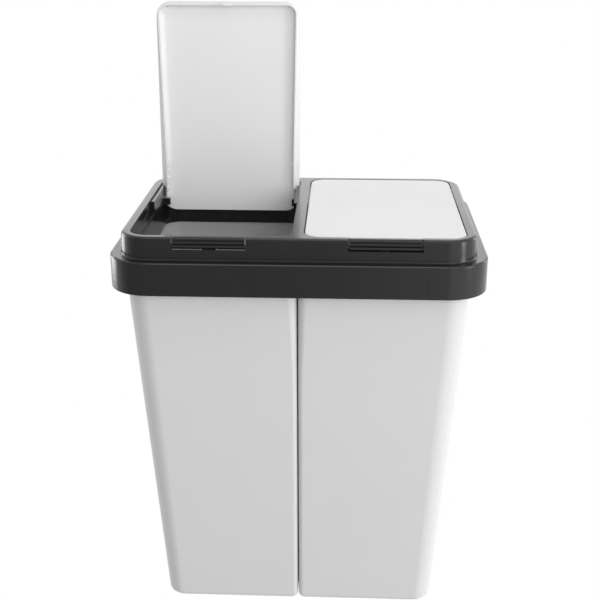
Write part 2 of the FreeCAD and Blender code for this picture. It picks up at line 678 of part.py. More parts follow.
def build_latch(side):
    """A press bar that rocks on two stubs; its arm carries the nose that holds the lid's catch."""
    tag = "Right" if side > 0 else "Left"
    mid = well_mid * side
    body = new_body(tag + "LatchBody")
    sketch = plane_sketch(body, tag + "LatchProfile", "YZ_Plane", mid - latch_half)
    foot = -tier_half_depth
    skin = s.latch_skin
    back = well_front_y - s.collar_wall * 0.4
    bottom = latch_z - s.ridge_radius
    crown = s.crown_round
    flush = 0.3
    profile = [
        (back, top_z - flush), (foot + s.tier_draft + crown, top_z - flush),
        (foot + s.tier_draft + crown * 0.35, top_z - crown * 0.3), (foot + s.tier_draft + flush, top_z - crown),
        (foot + flush * 2, latch_z + s.ridge_radius), (foot, latch_z), (foot, bottom),
        (latch_y, bottom), (foot + s.tier_draft + flush + skin, top_z - crown),
        (foot + s.tier_draft + crown, top_z - flush - skin), (back, top_z - flush - skin)]
    polygon(sketch, profile)
    pad(body, tag + "LatchFace", sketch, s.latch_width)

    low, high = mid - latch_half, mid + latch_half
    pieces = [body, rod(tag + "Barrel", low, high, latch_y, latch_z, s.latch_barrel)]
    stub = s.latch_gap + s.cheek_wall * 0.8
    pieces.append(rod(tag + "Stubs", low - stub, high + stub, latch_y, latch_z, s.latch_stub))
    for k, (dy, dz) in enumerate(((s.tier_draft + s.ridge_radius * 1.5, s.ridge_radius * 1.6),
                                  (s.ridge_radius * 1.15, s.crown_round + s.ridge_radius * 0.7))):
        pieces.append(rod(f"{tag}Ridge{k}", low, high, foot + dy, top_z - dz, s.ridge_radius))
    arm_half = s.arm_width / 2
    arm_y = well_front_y - s.collar_wall - s.swing_gap
    nose_top = top_z - s.nose_drop
    pieces.append(block(tag + "Arm", mid - arm_half, mid + arm_half, arm_y - s.arm_thick, arm_y,
                        nose_top - s.nose_height, top_z - skin))
    pieces.append(block(tag + "Nose", mid - arm_half, mid + arm_half, arm_y - s.arm_thick,
                        well_front_y + s.nose_reach, nose_top - s.nose_height, nose_top))
    return fuse(tag.lower() + "_latch", pieces)


def build_latch_spring(side):
    """Folded leaf spring between the tier's front wall and the latch's arm."""
    tag = "Right" if side > 0 else "Left"
    mid = well_mid * side
    sheet_t = s.spring_sheet
    wall_y = s.tier_draft + s.frame_wall - tier_half_depth
    arm_y = well_front_y - s.collar_wall - s.swing_gap - s.arm_thick
    top = top_z - s.nose_drop + s.nose_height
    low = top - s.nose_height * 3
    body = new_body(tag + "SpringBody")
    sketch = plane_sketch(body, tag + "SpringProfile", "YZ_Plane", mid - s.spring_width / 2)
    polygon(sketch, [(wall_y, top), (wall_y, low), (wall_y + sheet_t * 2.5, low), (arm_y, top - sheet_t * 2),
                     (arm_y - sheet_t, top - sheet_t), (wall_y + sheet_t * 1.6, low + sheet_t * 1.4),
                     (wall_y + sheet_t, low + sheet_t * 1.4), (wall_y + sheet_t, top)])
    pad(body, tag + "SpringPad", sketch, s.spring_width)
    body.Label = tag.lower() + "_latch_spring"
    return body


# ---------------------------------------------------------------- the whole bin

stop_lean = sine(s.open_angle - 90) * (s.stop_drop + s.stop_height)
nodes = [build_frame()]
for bin_side in (-1, 1):
    nodes += [build_tub(bin_side), build_lid(bin_side), build_lid_spring(bin_side), build_latch(bin_side),
              build_latch_spring(bin_side)]
doc.recompute()

for item in doc.Objects:
    if "Invalid" in item.State or "Error" in item.State:
        raise RuntimeError(f"{item.Label} failed: {item.State}")
    if item.TypeId in ("PartDesign::Body", "Part::MultiFuse", "Part::Cut") and not item.Shape.isValid():
        raise RuntimeError(f"{item.Label} has a faulty shape")
os.makedirs("parts", exist_ok=True)
for node in nodes:
    shape = node.Shape
    if shape.isNull() or not shape.isValid() or len(shape.Solids) != 1:
        raise RuntimeError(f"{node.Label} is not one sound solid")
    print(f"{node.Label}: {shape.Volume / 1000:.1f} cm3")
    shape.exportStep(f"parts/{node.Label}.step")
print(f"Hinge axis y {hinge_y.value:.4f}, z {hinge_z.value:.4f}; latch axis y {latch_y.value:.4f}, "
      f"z {latch_z.value:.4f}; well middle x {well_mid.value:.4f}")
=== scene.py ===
"""A double recycling bin in moulded polypropylene, dressed for the studio.

Two pale tubs stand side by side under one dark lid frame. The right lid is shut and the left lid stands open.
"""
import logging
import math
from contextlib import contextmanager
from dataclasses import dataclass, field
from enum import Enum
from typing import Callable, Iterator, Optional, Sequence

import bmesh
import bpy
from mathutils import Matrix, Vector


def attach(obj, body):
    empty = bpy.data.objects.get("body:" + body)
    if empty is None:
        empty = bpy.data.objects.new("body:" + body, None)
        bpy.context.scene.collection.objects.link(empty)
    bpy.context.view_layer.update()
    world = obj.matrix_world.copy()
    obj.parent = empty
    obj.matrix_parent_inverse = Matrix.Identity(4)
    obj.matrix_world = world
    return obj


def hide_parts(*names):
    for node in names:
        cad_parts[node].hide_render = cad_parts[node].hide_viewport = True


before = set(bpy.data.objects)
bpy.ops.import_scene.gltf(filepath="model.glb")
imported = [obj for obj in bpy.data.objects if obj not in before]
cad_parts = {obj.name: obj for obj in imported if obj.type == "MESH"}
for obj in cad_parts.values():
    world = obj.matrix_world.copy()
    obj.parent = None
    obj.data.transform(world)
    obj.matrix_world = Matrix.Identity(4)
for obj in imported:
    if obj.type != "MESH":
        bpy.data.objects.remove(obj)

LOG = logging.getLogger("recycling_bin")
MM = 0.001
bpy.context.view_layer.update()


# ------------------------------------------------------------------ colour and nodes

def linear(hex_colour: str) -> tuple[float, float, float, float]:
    """Turns an sRGB hex colour into the linear values that a shader reads.

    Args:
        hex_colour: Six hex digits after a hash, such as "#D0D1D2".

    Returns:
        Linear red, green and blue, and an alpha of one.
    """
    channels = [int(hex_colour[k:k + 2], 16) / 255 for k in (1, 3, 5)]
    red, green, blue = (c / 12.92 if c <= 0.04045 else ((c + 0.055) / 1.055) ** 2.4 for c in channels)
    return red, green, blue, 1.0


def add_node(owner: bpy.types.Material | bpy.types.World, kind: str, settings: Optional[dict] = None,
             inputs: Optional[dict] = None) -> bpy.types.Node:
    """Adds a shader node, sets its properties and feeds its sockets.

    Args:
        owner: The material or world that gets the node.
        kind: The node's type name, such as "ShaderNodeTexNoise".
        settings: Properties of the node by name.
        inputs: Values or output sockets by the name or number of the input that they feed.

    Returns:
        The new node.
    """
    tree = owner.node_tree
    node = tree.nodes.new(kind)
    for key, value in (settings or {}).items():
        setattr(node, key, value)
    for key, value in (inputs or {}).items():
        if isinstance(value, bpy.types.NodeSocket):
            tree.links.new(value, node.inputs[key])
        else:
            node.inputs[key].default_value = value
    return node


# ------------------------------------------------------------------ finishes

@dataclass(frozen=True)
class MouldedPlastic:
    """Injection-moulded polypropylene: an even colour, a soft sheen, and the mould's texture in its surface."""

    # A mould's real grain is some tenths of a millimetre across or finer, too fine to show in a picture of the
    # whole bin, so grain_mm is drawn coarser than it is.
    name: str
    colour: str
    shade: str
    roughness: float
    roughness_spread: float
    grain_mm: float
    grain_depth: float
    ripple_mm: float
    ripple_depth: float
    sheen_level: float = 0.5

    def build(self) -> bpy.types.Material:
        """Makes the material.

        Returns:
            The material, with its cloudiness, sheen variation, grain and flow ripple in nodes.
        """
        material = bpy.data.materials.new(self.name)
        material.use_nodes = True
        material.node_tree.nodes.clear()
        where = add_node(material, "ShaderNodeTexCoord").outputs["Object"]
        # Pigment is never stirred quite evenly, which shows as a cloudiness a hand's breadth across.
        cloud = add_node(material, "ShaderNodeTexNoise", None,
                         {"Vector": where, "Scale": 1 / (90 * MM), "Detail": 3.0, "Roughness": 0.5})
        colour = add_node(material, "ShaderNodeMix", {"data_type": "RGBA"},
                          {0: cloud.outputs["Fac"], 6: linear(self.shade), 7: linear(self.colour)})
        # Handling polishes some places and dulls others.
        wear = add_node(material, "ShaderNodeTexNoise", None,
                        {"Vector": where, "Scale": 1 / (35 * MM), "Detail": 4.0, "Roughness": 0.6})
        rough = add_node(material, "ShaderNodeMapRange", None,
                         {"Value": wear.outputs["Fac"], "From Min": 0.3, "From Max": 0.7,
                          "To Min": self.roughness - self.roughness_spread,
                          "To Max": self.roughness + self.roughness_spread})
        ripple = add_node(material, "ShaderNodeTexNoise", None,
                          {"Vector": where, "Scale": 1 / (self.ripple_mm * MM), "Detail": 1.0})
        waves = add_node(material, "ShaderNodeBump", None,
                         {"Strength": 1.0, "Distance": self.ripple_depth * MM, "Height": ripple.outputs["Fac"]})
        grain = add_node(material, "ShaderNodeTexNoise", None,
                         {"Vector": where, "Scale": 1 / (self.grain_mm * MM), "Detail": 2.0, "Roughness": 0.7})
        surface = add_node(material, "ShaderNodeBump", None,
                           {"Strength": 1.0, "Distance": self.grain_depth * MM, "Height": grain.outputs["Fac"],
                            "Normal": waves.outputs["Normal"]})
        plastic = add_node(material, "ShaderNodeBsdfPrincipled", None,
                           {"Base Color": colour.outputs[2], "Roughness": rough.outputs["Result"], "IOR": 1.49,
                            "Specular IOR Level": self.sheen_level, "Normal": surface.outputs["Normal"]})
        add_node(material, "ShaderNodeOutputMaterial", None, {"Surface": plastic.outputs["BSDF"]})
        return material


@dataclass(frozen=True)
class DrawnSpringSteel:
    """Bright drawn spring wire and strip: cool grey, with a fine unevenness left by the die."""

    name: str = "drawn_spring_steel"
    colour: str = "#B9BABB"
    roughness: float = 0.28
    smoother: float = 0.08
    rougher: float = 0.1
    mark_mm: float = 0.4
    mark_depth: float = 0.01

    def build(self) -> bpy.types.Material:
        """Makes the material.

        Returns:
            The material, with the die's marks in its roughness and bump.
        """
        material = bpy.data.materials.new(self.name)
        material.use_nodes = True
        material.node_tree.nodes.clear()
        where = add_node(material, "ShaderNodeTexCoord").outputs["Object"]
        marks = add_node(material, "ShaderNodeTexNoise", None,
                         {"Vector": where, "Scale": 1 / (self.mark_mm * MM), "Detail": 2.0})
        rough = add_node(material, "ShaderNodeMapRange", None,
                         {"Value": marks.outputs["Fac"], "To Min": self.roughness - self.smoother,
                          "To Max": self.roughness + self.rougher})
        bump = add_node(material, "ShaderNodeBump", None,
                        {"Strength": 1.0, "Distance": self.mark_depth * MM, "Height": marks.outputs["Fac"]})
        steel = add_node(material, "ShaderNodeBsdfPrincipled", None,
                         {"Base Color": linear(self.colour), "Metallic": 1.0,
                          "Roughness": rough.outputs["Result"], "Normal": bump.outputs["Normal"]})
        add_node(material, "ShaderNodeOutputMaterial", None, {"Surface": steel.outputs["BSDF"]})
        return material


@dataclass(frozen=True)
class StudioPaper:
    """White background paper that reads as white to the eye, with a share left in which a shadow can show."""

    name: str = "studio_paper"
    colour: str = "#F4F4F4"
    shadow_share: float = 0.3

    def build(self) -> bpy.types.Material:
        """Makes the material.

        Returns:
            The material, mostly plain white where it is seen directly, in a reflection or through glass.
        """
        material = bpy.data.materials.new(self.name)
        material.use_nodes = True
        material.node_tree.nodes.clear()
        path = add_node(material, "ShaderNodeLightPath")
        direct = add_node(material, "ShaderNodeMath", {"operation": "MAXIMUM"},
                          {0: path.outputs["Is Camera Ray"], 1: path.outputs["Is Glossy Ray"]})
        seen = add_node(material, "ShaderNodeMath", {"operation": "MAXIMUM"},
                        {0: direct.outputs[0], 1: path.outputs["Is Transmission Ray"]})
        share = add_node(material, "ShaderNodeMath", {"operation": "MULTIPLY"},
                         {0: seen.outputs[0], 1: 1 - self.shadow_share})
        paper = add_node(material, "ShaderNodeBsdfDiffuse", None, {"Color": linear(self.colour)})
        white = add_node(material, "ShaderNodeEmission", None, {"Color": (1, 1, 1, 1), "Strength": 1.0})
        both = add_node(material, "ShaderNodeMixShader", None,
                        {0: share.outputs[0], 1: paper.outputs[0], 2: white.outputs[0]})
        add_node(material, "ShaderNodeOutputMaterial", None, {"Surface": both.outputs[0]})
        return material


class Finish(Enum):
    """The finishes on the bin."""

    # Polished mould: the tubs' walls show a soft sheen and a faint orange peel.
    TUB = MouldedPlastic("tub_polypropylene", "#CDCDCE", "#C9C9CA", 0.38, 0.02, 0.9, 0.008, 14.0, 0.06)
    # Spark-eroded mould: the lids are finely grained and nearly matt.
    LID = MouldedPlastic("lid_polypropylene_grained", "#E3E3E3", "#DFDFDF", 0.55, 0.03, 0.7, 0.02, 20.0, 0.05,
                         sheen_level=0.25)
    # Smoother mould and dark pigment: the frame shows clearer reflections than the tubs.
    FRAME = MouldedPlastic("frame_polypropylene_anthracite", "#1E1E1F", "#1B1B1C", 0.2, 0.02, 0.8, 0.004, 12.0,
                           0.05)
    # Drawn wire and strip: cool and bright, with a faint unevenness in its shine.
    STEEL = DrawnSpringSteel()


class Side(Enum):
    """Which half of the bin a piece belongs to. The value is the sign of x there."""

    LEFT = -1
    RIGHT = 1

    @property
    def word(self) -> str:
        """The word that the names of this side's parts begin with."""
        return self.name.lower()


@dataclass
class PaintShop:
    """Makes each finish once and puts it on pieces."""

    made: dict[Finish, bpy.types.Material] = field(default_factory=dict)

    def coat(self, piece: bpy.types.Object, finish: Finish) -> None:
        """Puts one finish on the whole of a piece.

        Args:
            piece: The mesh object.
            finish: What it is made of.
        """
        if finish not in self.made:
            self.made[finish] = finish.value.build()
        piece.data.materials.clear()
        piece.data.materials.append(self.made[finish])


# ------------------------------------------------------------------ workbench

def deselect_all() -> None:
    """Leaves nothing selected, so that an operator acts on its own piece alone."""
    for item in list(bpy.context.selected_objects):
        item.select_set(False)


def take_up(piece: bpy.types.Object) -> None:
    """Makes one piece the only selected and the active object.

    Args:
        piece: The mesh object.
    """
    deselect_all()
    piece.select_set(True)
    bpy.context.view_layer.objects.active = piece


@contextmanager
def edit_mode(piece: bpy.types.Object) -> Iterator[None]:
    """Opens a piece in edit mode with nothing selected.

    Args:
        piece: The mesh object.

    Yields:
        Nothing.
    """
    take_up(piece)
    bpy.ops.object.mode_set(mode="EDIT")
    bpy.ops.mesh.select_all(action="DESELECT")
    yield
    bpy.ops.object.mode_set(mode="OBJECT")


def choose(piece: bpy.types.Object, kind: str, wanted: Callable[[bmesh.types.BMElemSeq], bool]) -> int:
    """Selects vertices, edges or faces of the open piece by their place.

    Args:
        piece: The mesh object in edit mode.
        kind: "verts", "edges" or "faces".
        wanted: Whether an element belongs to the choice.

    Returns:
        How many were selected.
    """
    bpy.ops.mesh.select_mode(type={"verts": "VERT", "edges": "EDGE", "faces": "FACE"}[kind])
    bpy.ops.mesh.select_all(action="DESELECT")
    mesh = bmesh.from_edit_mesh(piece.data)
    picked = [element for element in getattr(mesh, kind) if wanted(element)]
    for element in picked:
        element.select_set(True)
    mesh.select_flush_mode()
    bmesh.update_edit_mesh(piece.data)
    return len(picked)


def middle(edge: bmesh.types.BMEdge) -> Vector:
    """The middle of an edge."""
    return (edge.verts[0].co + edge.verts[1].co) / 2


def rises(edge: bmesh.types.BMEdge) -> bool:
    """Whether an edge runs up a wall."""
    return abs(edge.verts[0].co.z - edge.verts[1].co.z) > 0.1


def near_corner(corner: Vector, reach: float) -> Callable[[bmesh.types.BMVert], bool]:
    """Makes the test for the vertices of a rounded corner.

    Args:
        corner: Where the corner was before it was rounded.
        reach: How far from it the rounding begins, in plan.

    Returns:
        The test, true at the corner's own height alone.
    """
    return lambda v: (abs(v.co.z - corner.z) < 1e-5 and abs(v.co.x - corner.x) < reach
                      and abs(v.co.y - corner.y) < reach)


def apply_modifier(piece: bpy.types.Object, kind: str, **settings: object) -> None:
    """Adds a modifier and applies it at once.

    Args:
        piece: The mesh object.
        kind: The modifier's type, such as "BEVEL".
        **settings: Its properties by name.
    """
    take_up(piece)
    modifier = piece.modifiers.new(kind.title(), kind)
    for key, value in settings.items():
        setattr(modifier, key, value)
    bpy.ops.object.modifier_apply(modifier=modifier.name)


def soften(piece: bpy.types.Object, width_mm: float, segments: int = 2, sharper_than: float = 32.0) -> None:
    """Breaks a moulding's sharp edges and evens its shading.

    Args:
        piece: The mesh object.
        width_mm: How far each edge is broken.
        segments: Faces across each broken edge.
        sharper_than: Edges that turn less than this many degrees stay.
    """
    apply_modifier(piece, "BEVEL", width=width_mm * MM, segments=segments, limit_method="ANGLE",
                   angle_limit=math.radians(sharper_than), use_clamp_overlap=True, miter_outer="MITER_ARC")
    take_up(piece)
    bpy.ops.object.shade_smooth_by_angle(angle=math.radians(40))
    apply_modifier(piece, "WEIGHTED_NORMAL", weight=50, keep_sharp=True)


def moulding_from(node: str, name: str) -> bpy.types.Object:
    """Takes a mechanical part's own shape and joins its loose faces, ready for edit-mode work.

    Args:
        node: The part to stand for.
        name: The new piece's name.

    Returns:
        The piece, at the origin.
    """
    piece = bpy.data.objects.new(name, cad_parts[node].data.copy())
    bpy.context.scene.collection.objects.link(piece)
    with edit_mode(piece):
        bpy.ops.mesh.select_all(action="SELECT")
        bpy.ops.mesh.customdata_custom_splitnormals_clear()
        bpy.ops.mesh.remove_doubles(threshold=0.002 * MM)
        bpy.ops.mesh.dissolve_limited(angle_limit=math.radians(0.6))
    return piece


def round_edges(piece: bpy.types.Object, width_mm: float, segments: int,
                wanted: Callable[[bmesh.types.BMEdge], bool]) -> None:
    """Rounds chosen edges of a piece.

    Args:
        piece: The mesh object.
        width_mm: How far each edge is rounded.
        segments: Faces across the rounding.
        wanted: Whether an edge belongs to the choice.
    """
    with edit_mode(piece):
        count = choose(piece, "edges", wanted)
        bpy.ops.mesh.bevel(offset=width_mm * MM, segments=segments, affect="EDGES", clamp_overlap=False)
    LOG.info("%s: %d edges rounded by %.1f mm", piece.name, count, width_mm)


def level_with(edge: bmesh.types.BMEdge, height_mm: float) -> bool:
    """Whether an edge lies flat at a height."""
    return all(abs(v.co.z - height_mm * MM) < 0.05 * MM for v in edge.verts)


def settle(piece: bpy.types.Object, body: str, slot: str, *nodes: str) -> bpy.types.Object:
    """Hands a finished piece over to the body that carries it.

    Args:
        piece: The finished piece.
        body: The moving body that it rides on.
        slot: Not used.
        *nodes: The mechanical parts that it stands for.

    Returns:
        The same piece.
    """
    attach(piece, body)
    if nodes:
        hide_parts(*nodes)
    LOG.info("%s rides on %s: %d faces", piece.name, body, len(piece.data.polygons))
    return piece


# ------------------------------------------------------------------ tubs

@dataclass
class Tub:
    """One tapered tub: upright along the seam, leaning in on its other three sides, flanged at the rim."""

    side: Side
    seam: float = 0.6
    rim_x: float = 208.0
    rim_y: float = 149.5
    rim_z: float = 484.0
    lean: float = 33.3
    wall: float = 2.4
    rim_corner: float = 28.0
    foot_corner: float = 21.0
    foot_round: float = 9.0
    seam_round: float = 6.0
    # Each level of the valley: its height, and the radius of the rounding there.
    valley: Sequence[tuple[float, float]] = (
        (300.0, 6.0), (345.0, 6.7), (390.0, 8.6), (435.0, 10.9), (484.0, 13.0))
    rim_reach: float = 6.4
    rim_height: float = 2.5
    corner_margin: float = 1.03
    seam_margin: float = 0.5

    @property
    def name(self) -> str:
        """Which tub it is."""
        return f"{self.side.word}_tub"

    def lean_at(self, height: float) -> float:
        """How far a leaning wall stands in from the rim at a height."""
        return self.lean * (1 - height / self.rim_z)

    def build(self, shop: PaintShop) -> bpy.types.Object:
        """Models the tub and dresses it.

        Args:
            shop: Where finishes come from.

        Returns:
            The tub.
        """
        piece = self._block()
        self._round_corners(piece)
        self._turn_the_foot_in(piece)
        self._open_the_valley(piece)
        self._open_the_mouth(piece)
        self._turn_the_rim_out(piece)
        soften(piece, 0.4, 2, 50.0)
        shop.coat(piece, Finish.TUB)
        return settle(piece, "tubs", "tub_plastic", self.name)

    def _block(self) -> bpy.types.Object:
        """Makes a block from the top of the foot to the rim, drawn in below on the three leaning sides.

        Returns:
            The block, a mesh with its place in it.
        """
        deselect_all()
        bpy.ops.mesh.primitive_cube_add(
            size=1.0,
            location=(self.side.value * (self.seam + self.rim_x) / 2 * MM, 0,
                      (self.rim_z + self.foot_round) / 2 * MM),
            scale=((self.rim_x - self.seam) * MM, 2 * self.rim_y * MM, (self.rim_z - self.foot_round) * MM))
        piece = bpy.context.object
        piece.name = self.name + "_shell"
        bpy.ops.object.transform_apply(location=True, rotation=True, scale=True)
        inset = self.lean_at(self.foot_round)
        with edit_mode(piece):
            choose(piece, "faces", lambda f: f.normal.z < -0.9)
            bpy.ops.transform.resize(value=(1 - inset / (self.rim_x - self.seam), 1 - inset / self.rim_y, 1),
                                     center_override=(self.side.value * self.seam * MM, 0, 0))
        return piece

    def _round_corners(self, piece: bpy.types.Object) -> None:
        """Rounds the upright corners, the outer ones more at the rim than at the foot.

        Args:
            piece: The block.
        """
        half = self.rim_x / 2 * MM
        inset = self.lean_at(self.foot_round)
        with edit_mode(piece):
            choose(piece, "edges", lambda e: rises(e) and abs(middle(e).x) > half)
            bpy.ops.mesh.bevel(offset=self.rim_corner * MM, segments=16, affect="EDGES")
            choose(piece, "edges", lambda e: rises(e) and abs(middle(e).x) < 3 * self.seam * MM)
            bpy.ops.mesh.bevel(offset=self.seam_round * MM, segments=8, affect="EDGES")
            for end in (-1, 1):
                corner = MM * Vector((self.side.value * (self.rim_x - inset), end * (self.rim_y - inset),
                                      self.foot_round))
                reach = self.rim_corner * self.corner_margin * MM
                choose(piece, "verts", near_corner(corner, reach))
                share = self.foot_corner / self.rim_corner
                bpy.ops.transform.resize(value=(share, share, 1), center_override=corner)

    def _turn_the_foot_in(self, piece: bpy.types.Object, steps: int = 6) -> None:
        """Extrudes the underside down in steps that follow a quarter circle, which rounds the foot.

        Args:
            piece: The block with its upright corners rounded.
            steps: How many steps the quarter circle has.
        """
        inset = self.lean_at(self.foot_round)
        half_x = (self.rim_x - inset - self.seam) / 2
        half_y = self.rim_y - inset
        centre_x = self.side.value * (self.seam + half_x)
        with edit_mode(piece):
            choose(piece, "faces", lambda f: f.normal.z < -0.9)
            drawn, sunk = 0.0, 0.0
            for step in range(1, steps + 1):
                angle = math.radians(90 * step / steps)
                draw, sink = self.foot_round * (1 - math.cos(angle)), self.foot_round * math.sin(angle)
                bpy.ops.mesh.extrude_region_move(
                    TRANSFORM_OT_translate={"value": (0, 0, -(sink - sunk) * MM)})
                bpy.ops.transform.resize(
                    value=((half_x - draw) / (half_x - drawn), (half_y - draw) / (half_y - drawn), 1),
                    center_override=(centre_x * MM, 0, 0))
                drawn, sunk = draw, sink

    def _open_the_valley(self, piece: bpy.types.Object) -> None:
        """Spreads the rounding beside the seam towards the rim, which makes the valley between the two tubs.

        Args:
            piece: The block with its foot rounded.
        """
        with edit_mode(piece):
            for height, _ in self.valley[:-1]:
                bpy.ops.mesh.select_mode(type="FACE")
                bpy.ops.mesh.select_all(action="SELECT")
                bpy.ops.mesh.bisect(plane_co=(0, 0, height * MM), plane_no=(0, 0, 1))
            for height, radius in self.valley:
                grow = radius / self.seam_round
                for end in (-1, 1):
                    corner = MM * Vector((self.side.value * self.seam,
                                          end * (self.rim_y - self.lean_at(height)), height))
                    choose(piece, "verts", near_corner(corner, self.corner_margin * self.seam_round * MM))
                    bpy.ops.transform.resize(value=(grow, grow, 1), center_override=corner)

    def _open_the_mouth(self, piece: bpy.types.Object) -> None:
        """Takes the top off and gives the walls their thickness, inwards.

        Args:
            piece: The block with all its outer roundings.
        """
        top = self.rim_z * MM
        with edit_mode(piece):
            choose(piece, "faces", lambda f: f.normal.z > 0.9 and min(v.co.z for v in f.verts) > top - 1e-5)
            bpy.ops.mesh.delete(type="FACE")
        apply_modifier(piece, "SOLIDIFY", thickness=self.wall * MM, offset=-1.0, use_even_offset=False,
                       use_quality_normals=True)

    def _turn_the_rim_out(self, piece: bpy.types.Object) -> None:
        """Swells a band at the top of the three leaning walls into the flange.

        Args:
            piece: The open tub.
        """
        top, under = self.rim_z * MM, (self.rim_z - self.rim_height) * MM
        beside_seam = (self.seam + self.valley[-1][1] + self.seam_margin) * MM
        with edit_mode(piece):
            bpy.ops.mesh.select_mode(type="FACE")
            bpy.ops.mesh.select_all(action="SELECT")
            bpy.ops.mesh.bisect(plane_co=(0, 0, under), plane_no=(0, 0, 1))

            def is_band(face: bmesh.types.BMFace) -> bool:
                """Tells whether a face is on the outside of the band.

                Args:
                    face: A face of the tub.

                Returns:
                    True for the band's outer faces, apart from those beside the seam.
                """
                at = face.calc_center_median()
                out = face.normal.x * at.x > 0 if abs(face.normal.x) > 0.5 else face.normal.y * at.y > 0
                return (abs(face.normal.z) < 0.5 and at.z > under and abs(at.x) > beside_seam and out
                        and abs(at.z - (top + under) / 2) < 0.3 * MM)

            LOG.info("%s: %d faces turn out into the flange", piece.name, choose(piece, "faces", is_band))
            bpy.ops.mesh.extrude_region_shrink_fatten(
                TRANSFORM_OT_shrink_fatten={"value": self.rim_reach * MM, "use_even_offset": True})


# ------------------------------------------------------------------ lid frame, lids and latches

@dataclass
class LidFrame:
    """The one moulding that caps both tubs."""

    name: str = "lid_frame_shell"
    band_bottom: float = 448.0
    chamfer_low: float = 486.9
    tread: float = 488.5
    tier_x: float = 213.5
    tier_y: float = 155.0
    half_x: float = 225.0
    half_y: float = 166.5
    corner: float = 50.0
    straight_margin: float = 0.1
    corner_margin: float = 0.4
    inside_fillet: float = 2.0
    tread_round: float = 0.7
    bottom_round: float = 1.0

    def on_tier(self, edge: bmesh.types.BMEdge) -> bool:
        """Whether an edge is where the tier stands on the tread."""
        at = middle(edge)
        return level_with(edge, self.tread) and abs(at.x) < self.tier_x * MM and abs(at.y) < self.tier_y * MM

    def on_rim(self, edge: bmesh.types.BMEdge) -> bool:
        """Tells whether an edge is one of the two around the tread's chamfer.

        Args:
            edge: An edge of the frame.

        Returns:
            True for the chamfer's upper and lower edges.
        """
        at = middle(edge)
        outside = abs(at.x) > self.tier_x * MM or abs(at.y) > self.tier_y * MM
        return outside and (level_with(edge, self.tread) or level_with(edge, self.chamfer_low))

    def on_bottom(self, edge: bmesh.types.BMEdge) -> bool:
        """Tells whether an edge is the band's outer bottom edge.

        Args:
            edge: An edge of the frame.

        Returns:
            True along the straights and round the corners.
        """
        x, y = abs(middle(edge).x) / MM, abs(middle(edge).y) / MM
        along = x > self.half_x - self.straight_margin or y > self.half_y - self.straight_margin
        from_centre = math.hypot(max(x - self.half_x + self.corner, 0), max(y - self.half_y + self.corner, 0))
        return level_with(edge, self.band_bottom) and (along or from_centre > self.corner - self.corner_margin)

    def build(self, shop: PaintShop) -> bpy.types.Object:
        """Finishes and dresses the frame.

        Args:
            shop: Where finishes come from.

        Returns:
            The frame.
        """
        piece = moulding_from("lid_frame", self.name)
        round_edges(piece, self.inside_fillet, 4, self.on_tier)
        round_edges(piece, self.tread_round, 3, self.on_rim)
        round_edges(piece, self.bottom_round, 3, self.on_bottom)
        soften(piece, 0.3)
        shop.coat(piece, Finish.FRAME)
        return settle(piece, "frame", "frame_plastic", "lid_frame")


